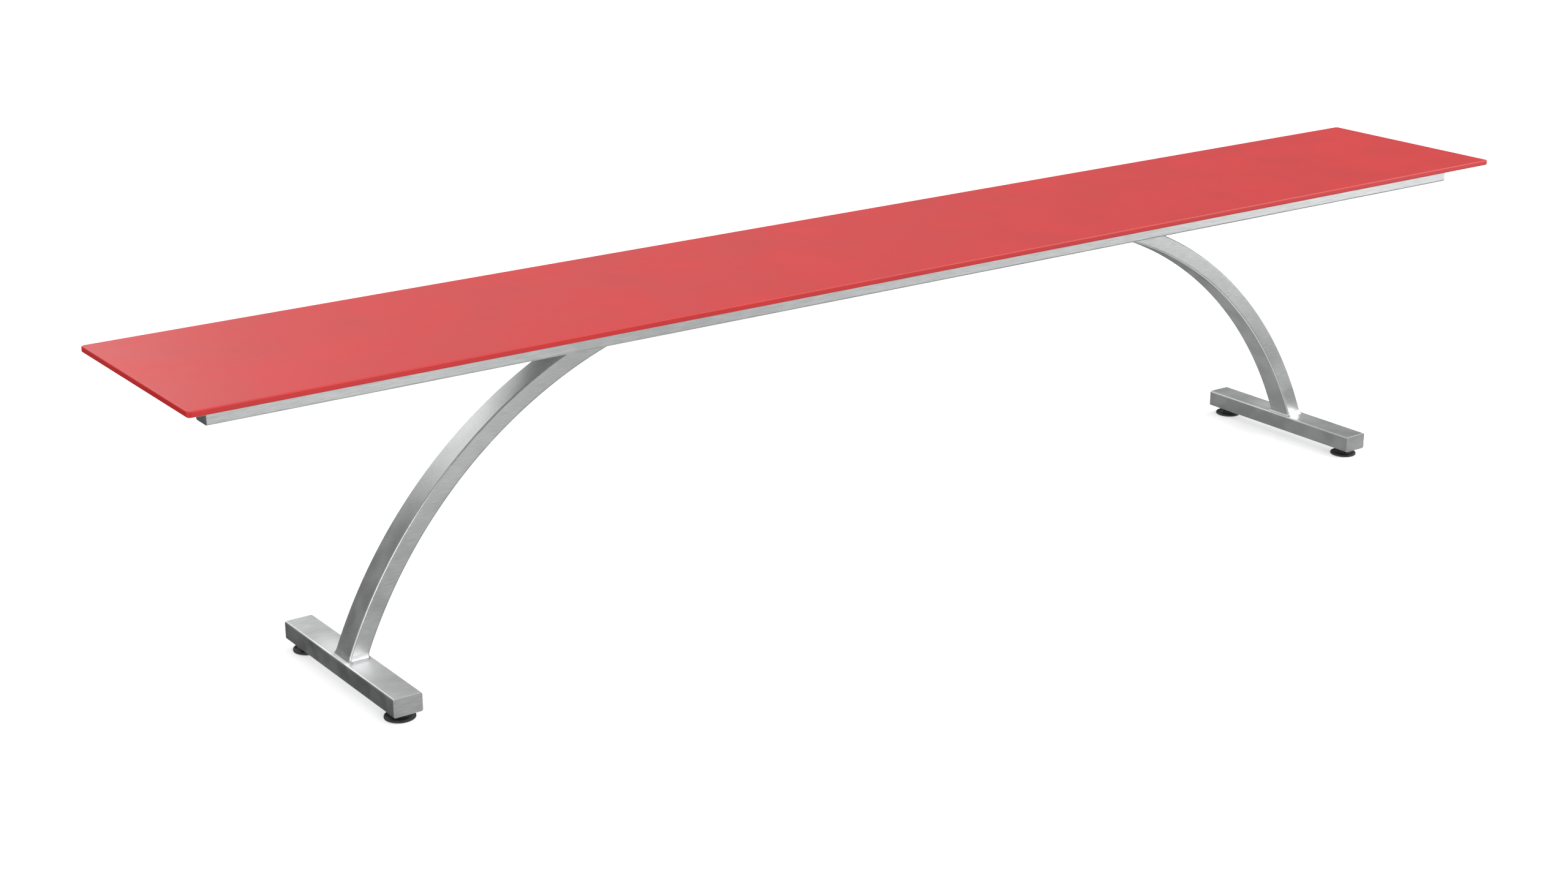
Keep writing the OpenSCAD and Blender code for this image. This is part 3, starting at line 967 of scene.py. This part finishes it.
def chamfered_hexagon(bm, across, low, high, chamfer_low, chamfer_high):
    """Adds a hexagon whose corners are turned off at its low or high face."""
    hexagon = bmesh.new()
    hexagon_bar(hexagon, across, low, high)
    corner = across / sqrt(3)
    slope = tan(CHAMFER_ANGLE)
    drop = (corner - across / 2) * slope
    inside = across / 2 - CHAMFER_INSET
    clear = corner + DRILL_START
    cutter = bmesh.new()
    for wanted, face, inward in ((chamfer_low, low, 1), (chamfer_high, high, -1)):
        if wanted:
            lead = (inside, face - inward * CHAMFER_LEAD * slope)
            lathed(cutter, (0, 0), [
                lead, (clear, face + inward * (drop + DRILL_START * slope)),
                (clear, face - inward * DRILL_START),
                (inside, face - inward * DRILL_START), lead,
            ])
    turned = cut_away(hexagon, cutter)
    mesh = bpy.data.meshes.new("hexagon")
    turned.to_mesh(mesh)
    turned.free()
    bm.from_mesh(mesh)
    bpy.data.meshes.remove(mesh)


def leg_bolt(side):
    """A hexagon bolt, head down, threaded up to its head."""
    low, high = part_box(f"{side}_leg_bolts")
    under_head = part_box(f"{side}_leg_washers")[0].z
    bm = bmesh.new()
    chamfered_hexagon(bm, BOLT_HEAD_ACROSS, low.z, under_head, True, False)
    thread(bm, M8_RADIUS, M8_PITCH, under_head - BOLT_JOIN, high.z)
    return copied_to(bm, bolt_places[side])


def hexagon_nut(node, places):
    """A nut of a node's height, chamfered on top."""
    low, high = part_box(node)
    nut = bmesh.new()
    chamfered_hexagon(nut, NUT_ACROSS, low.z, high.z, False, True)
    nut = drilled(nut, [(0, 0)], NUT_BORE, low.z - DRILL_START, high.z + DRILL_START)
    return copied_to(nut, places)


for side in ("left", "right"):
    new_piece(
        f"{side}_leg_hexagon_bolts", leg_bolt(side), zinc,
        "frame", "zinc_plated_steel", f"{side}_leg_bolts",
    )
    new_piece(
        f"{side}_leg_flat_washers",
        flat_washer(
            f"{side}_leg_washers", LEG_WASHER_RADIUS, LEG_WASHER_BORE,
            bolt_places[side],
        ),
        zinc, "frame", "zinc_plated_steel", f"{side}_leg_washers",
    )
    new_piece(
        f"{side}_leg_weld_nuts", hexagon_nut(f"{side}_leg_nuts", bolt_places[side]),
        zinc, "frame", "zinc_plated_steel", f"{side}_leg_nuts",
    )
    new_piece(
        f"{side}_glide_weld_nuts",
        hexagon_nut(f"{side}_glide_nuts", glide_places[side]),
        zinc, "frame", "zinc_plated_steel", f"{side}_glide_nuts",
    )


# ---- Glide stems ----
# Zinc-plated studs that screw into the nuts in the feet. Each has a hexagon for
# a spanner, and a round disc that its pad snaps over.
DISC_RADIUS = 0.00552
DISC_HEIGHT = 0.0015
DISC_CHAMFER = 0.0002
STEM_JOIN = 0.0002  # the stem's parts run this far into each other
HEXAGON_ACROSS = 0.013
HEXAGON_HEIGHT = 0.0055
HEXAGON_LIFT = 0.0063
glides = [(side, end) for side in ("left", "right") for end in ("front", "rear")]


def glide_stem(node):
    """A stud: its disc, a short neck, the hexagon and the thread."""
    low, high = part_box(node)
    disc_top = low.z + DISC_HEIGHT
    hexagon_top = HEXAGON_LIFT + HEXAGON_HEIGHT
    bm = bmesh.new()
    lathed(bm, (0, 0), [
        (0, low.z), (DISC_RADIUS - DISC_CHAMFER, low.z),
        (DISC_RADIUS, low.z + DISC_CHAMFER), (DISC_RADIUS, disc_top - DISC_CHAMFER),
        (DISC_RADIUS - DISC_CHAMFER, disc_top), (0, disc_top),
    ])
    round_bar(bm, (0, 0), M8_RADIUS, disc_top - STEM_JOIN, HEXAGON_LIFT + STEM_JOIN)
    chamfered_hexagon(bm, HEXAGON_ACROSS, HEXAGON_LIFT, hexagon_top, True, True)
    thread(bm, M8_RADIUS, M8_PITCH, hexagon_top - STEM_JOIN, high.z)
    middle = (low + high) / 2
    return copied_to(bm, [(middle.x, middle.y)])


for side, end in glides:
    node = f"{side}_{end}_glide_stem"
    new_piece(
        f"{node}_stud", glide_stem(node), zinc,
        f"{side}_{end}_stem", "zinc_plated_steel", node,
    )


# ---- Glide pads ----
# Moulded black plastic, dished between a raised rim and the boss that grips the
# stem's disc. The sole is flat with a small chamfer.
PAD_BLACK = (0.012, 0.012, 0.013, 1)
PAD_SCUFF = (0.035, 0.035, 0.037, 1)
SOLE_CHAMFER = (0.0015, 0.001)  # inward and upward
RIM_HEIGHT = 0.004
RIM_SHOULDER = (0.0015, 0.0012)  # inward and downward
RIM_BACK = (0.003, 0.0006)
DISH_RADIUS_LESS = 0.005
DISH_HEIGHT = 0.0025
BOSS_RADIUS = 0.00902
BOSS_FLARE = 0.0015
BOSS_CHAMFER = 0.0005
CAVITY_LOW = 0.0019
CAVITY_HIGH = 0.0036
PAD_PLAY = 0.0001  # round the stem and its disc
PAD_EDGE_RADIUS = 0.0003
PAD_SOFT_ANGLE = radians(20)  # a sharper edge than this is rounded
PAD_SHARP_INSIDE = 0.001  # but not within this of the cavity


def moulded_black():
    """Fine-grained moulding, scuffed paler in places."""
    material, tree, shader, place = new_finish("moulded_black_plastic", 0.42)
    scuffs = grain(tree, place, (1, 1, 1), 150, detail=3)
    fine = grain(tree, place, (1, 1, 1), 1600)
    tree.links.new(
        two_tone(tree, scuffs, PAD_BLACK, PAD_SCUFF), shader.inputs["Base Color"]
    )
    tree.links.new(ranged(tree, scuffs, 0.36, 0.5), shader.inputs["Roughness"])
    relief(tree, shader, fine, 0.00004, strength=0.5)
    return material


def glide_pad(node):
    """A dished pad with its boss, hollow for the stem's disc."""
    low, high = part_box(node)
    middle = (low + high) / 2
    rim = (high.x - low.x) / 2
    cavity, neck = DISC_RADIUS + PAD_PLAY, M8_RADIUS + PAD_PLAY
    bm = bmesh.new()
    lathed(bm, (0, 0), [
        (0, 0), (rim - SOLE_CHAMFER[0], 0), (rim, SOLE_CHAMFER[1]),
        (rim, RIM_HEIGHT - RIM_SHOULDER[1]), (rim - RIM_SHOULDER[0], RIM_HEIGHT),
        (rim - RIM_BACK[0], RIM_HEIGHT - RIM_BACK[1]),
        (rim - DISH_RADIUS_LESS, DISH_HEIGHT),
        (BOSS_RADIUS + BOSS_FLARE, DISH_HEIGHT),
        (BOSS_RADIUS, DISH_HEIGHT + BOSS_FLARE),
        (BOSS_RADIUS, high.z - BOSS_CHAMFER), (BOSS_RADIUS - BOSS_CHAMFER, high.z),
        (neck, high.z), (neck, CAVITY_HIGH), (cavity, CAVITY_HIGH),
        (cavity, CAVITY_LOW), (0, CAVITY_LOW),
    ], sides=64)
    outer_turned = [
        e for e in bm.edges
        if len(e.link_faces) == 2 and e.calc_face_angle() > PAD_SOFT_ANGLE
        and max(v.co.xy.length for v in e.verts) > cavity + PAD_SHARP_INSIDE
        and abs(e.verts[0].co.z - e.verts[1].co.z) < 1e-6
    ]
    round_edges(bm, outer_turned, PAD_EDGE_RADIUS, 3)
    return copied_to(bm, [(middle.x, middle.y)])


black_plastic = moulded_black()
for side, end in glides:
    node = f"{side}_{end}_glide_pad"
    new_piece(
        f"{node}_moulding", glide_pad(node), black_plastic,
        f"{side}_{end}_pad", "black_plastic", node,
    )


# ---- Studio ----
# A pale floor before a white backdrop, lit by soft lamps and a sky of broad
# glows. The camera looks down a little from off the left front corner.
CAMERA_PLACE = (-2.1116, -2.6810, 1.3162)
CAMERA_TILT = radians(71.19)
CAMERA_TURN = radians(-35.92)
CAMERA_LENS = 57.59
STUDIO_RADIUS = 60
FLOOR_WHITE = (0.95, 0.95, 0.95, 1)
FLOOR_GLOW = 0.4


def stage_piece(name, bm, material):
    """A piece of the studio, which is seen but neither lights nor shades."""
    mesh = bpy.data.meshes.new(name)
    bm.to_mesh(mesh)
    bm.free()
    mesh.materials.append(material)
    piece = bpy.data.objects.new(name, mesh)
    piece.visible_glossy = False
    piece.visible_diffuse = False
    piece.visible_shadow = False
    bpy.context.scene.collection.objects.link(piece)


def pale_floor():
    """A pale matt floor, which is clear when looked at from below."""
    bm = bmesh.new()
    bmesh.ops.create_circle(bm, cap_ends=True, segments=96, radius=STUDIO_RADIUS)
    material, tree, shader, _ = new_finish("pale_floor_paint", 0.9)
    shader.inputs["Base Color"].default_value = FLOOR_WHITE
    shader.inputs["Specular IOR Level"].default_value = 0
    shader.inputs["Emission Color"].default_value = (1, 1, 1, 1)
    shader.inputs["Emission Strength"].default_value = FLOOR_GLOW
    clear = tree.nodes.new("ShaderNodeBsdfTransparent")
    side_seen = tree.nodes.new("ShaderNodeNewGeometry").outputs["Backfacing"]
    mix = tree.nodes.new("ShaderNodeMixShader")
    tree.links.new(side_seen, mix.inputs[0])
    tree.links.new(shader.outputs[0], mix.inputs[1])
    tree.links.new(clear.outputs[0], mix.inputs[2])
    tree.links.new(mix.outputs[0], tree.nodes["Material Output"].inputs["Surface"])
    stage_piece("studio_floor", bm, material)


def pale_backdrop():
    """A white shell far away on every side, which hides the lit sky."""
    bm = bmesh.new()
    bmesh.ops.create_icosphere(bm, subdivisions=4, radius=STUDIO_RADIUS)
    bmesh.ops.reverse_faces(bm, faces=bm.faces)
    material, _, shader, _ = new_finish("white_backdrop", 1)
    shader.inputs["Base Color"].default_value = (0, 0, 0, 1)
    shader.inputs["Specular IOR Level"].default_value = 0
    shader.inputs["Emission Color"].default_value = (1, 1, 1, 1)
    shader.inputs["Emission Strength"].default_value = 1
    stage_piece("studio_backdrop", bm, material)


def softbox(name, place, aim, size, power):
    """A soft rectangular lamp, which is not seen itself."""
    lamp = bpy.data.lights.new(name, "AREA")
    lamp.shape = "RECTANGLE"
    lamp.size, lamp.size_y = size
    lamp.energy = power
    holder = bpy.data.objects.new(name, lamp)
    holder.location = place
    towards = Vector(aim) - Vector(place)
    holder.rotation_euler = towards.to_track_quat("-Z", "Y").to_euler()
    holder.visible_camera = False
    bpy.context.scene.collection.objects.link(holder)


def studio_sky(glows):
    """A sky lit by broad glows, each a direction, a tightness and a strength."""
    world = bpy.data.worlds.new("studio_sky")
    world.use_nodes = True
    tree = world.node_tree
    direction = tree.nodes.new("ShaderNodeTexCoord").outputs["Generated"]
    total = None
    for towards, tightness, strength in glows:
        facing = vector_step(
            tree, "DOT_PRODUCT", direction, Vector(towards).normalized(),
            output="Value",
        )
        lit = number_step(tree, "MAXIMUM", facing, 0)
        lit = number_step(tree, "POWER", lit, tightness)
        lit = number_step(tree, "MULTIPLY", lit, strength)
        total = lit if total is None else number_step(tree, "ADD", total, lit)
    background = tree.nodes["Background"]
    background.inputs["Color"].default_value = (1, 1, 1, 1)
    tree.links.new(total, background.inputs["Strength"])
    bpy.context.scene.world = world


pale_floor()
pale_backdrop()
studio_sky([
    ((-1, 0, 0), 4, 0.85),
    ((0, 0, 1), 4, 1.20),
    ((0, 0, -1), 4, 1.21),
    ((-1, -1, -1), 4, 0.29),
    ((-1, 1, 1), 4, 0.12),
    ((1, -1, -1), 4, 0.14),
    ((1, -1, 1), 4, 1.40),
    ((1, 1, 1), 4, 0.24),
    ((0.3, 0.85, 0.42), 12, 0.47),
    ((0.45, -0.85, -0.3), 12, 0.20),
    ((-0.69, 0.62, 0.38), 40, 0.30),
])
softbox("left_softbox", (-3.9, -2.8, 1.8), (0, 0, 0.3), (0.45, 2.2), 52)
softbox("right_softbox", (4.0, -1.5, 3.2), (0, 0, 0.3), (5.6, 5.0), 125)
softbox("back_softbox", (-0.9, 3.5, 2.6), (0, 0, 0.3), (3, 2), 25)
softbox("right_card", (1.9, -1.1, 0.15), (0.95, 0, 0.35), (0.9, 0.5), 1.8)
softbox("middle_card", (0.8, -1.2, 0.1), (0.2, 0, 0.4), (0.8, 0.5), 0.8)
softbox("left_card", (-0.45, -1.2, 0.08), (-0.8, 0, 0.4), (0.8, 0.5), 1.0)
softbox("back_card", (0, 2.2, 0.12), (0, 0, 0.4), (3.0, 0.5), 4)

camera_data = bpy.data.cameras.new("camera")
camera_data.lens = CAMERA_LENS
camera_data.sensor_width = 36
camera = bpy.data.objects.new("camera", camera_data)
camera.location = CAMERA_PLACE
camera.rotation_euler = (CAMERA_TILT, 0, CAMERA_TURN)
bpy.context.scene.collection.objects.link(camera)
bpy.context.scene.camera = camera
bpy.context.scene.view_settings.view_transform = "Standard"
